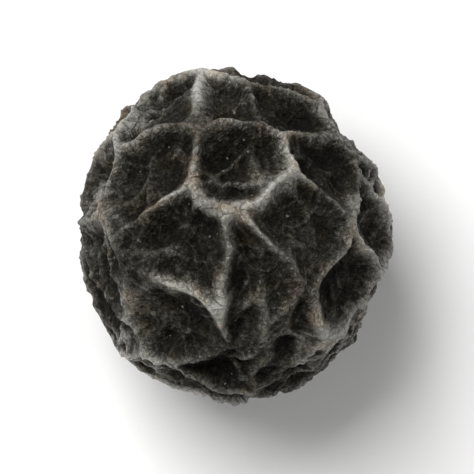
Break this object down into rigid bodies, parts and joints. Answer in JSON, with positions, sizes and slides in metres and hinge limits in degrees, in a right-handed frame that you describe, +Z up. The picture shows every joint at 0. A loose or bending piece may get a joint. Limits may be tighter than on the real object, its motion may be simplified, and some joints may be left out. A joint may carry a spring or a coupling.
{
  "type": "black peppercorn",
  "caption": "Whole dried black peppercorn: a nearly round fruit whose dark skin stands up in a net of folds, lying on a small flat spot.",
  "frame": {"origin": "middle of the small flat spot that the peppercorn rests on, at the bottom of its box", "axes": "+Z up from the surface that it lies on; +Y along its longest way across, +X along its width"},
  "size_m": [0.0048, 0.0052, 0.0046],
  "materials": {
    "skin": "matt, dark brown to black in the hollows, paler grey-brown on the folds"
  },
  "bodies": {
    "root": {"black_peppercorn": "skin"}
  },
  "joints": []
}
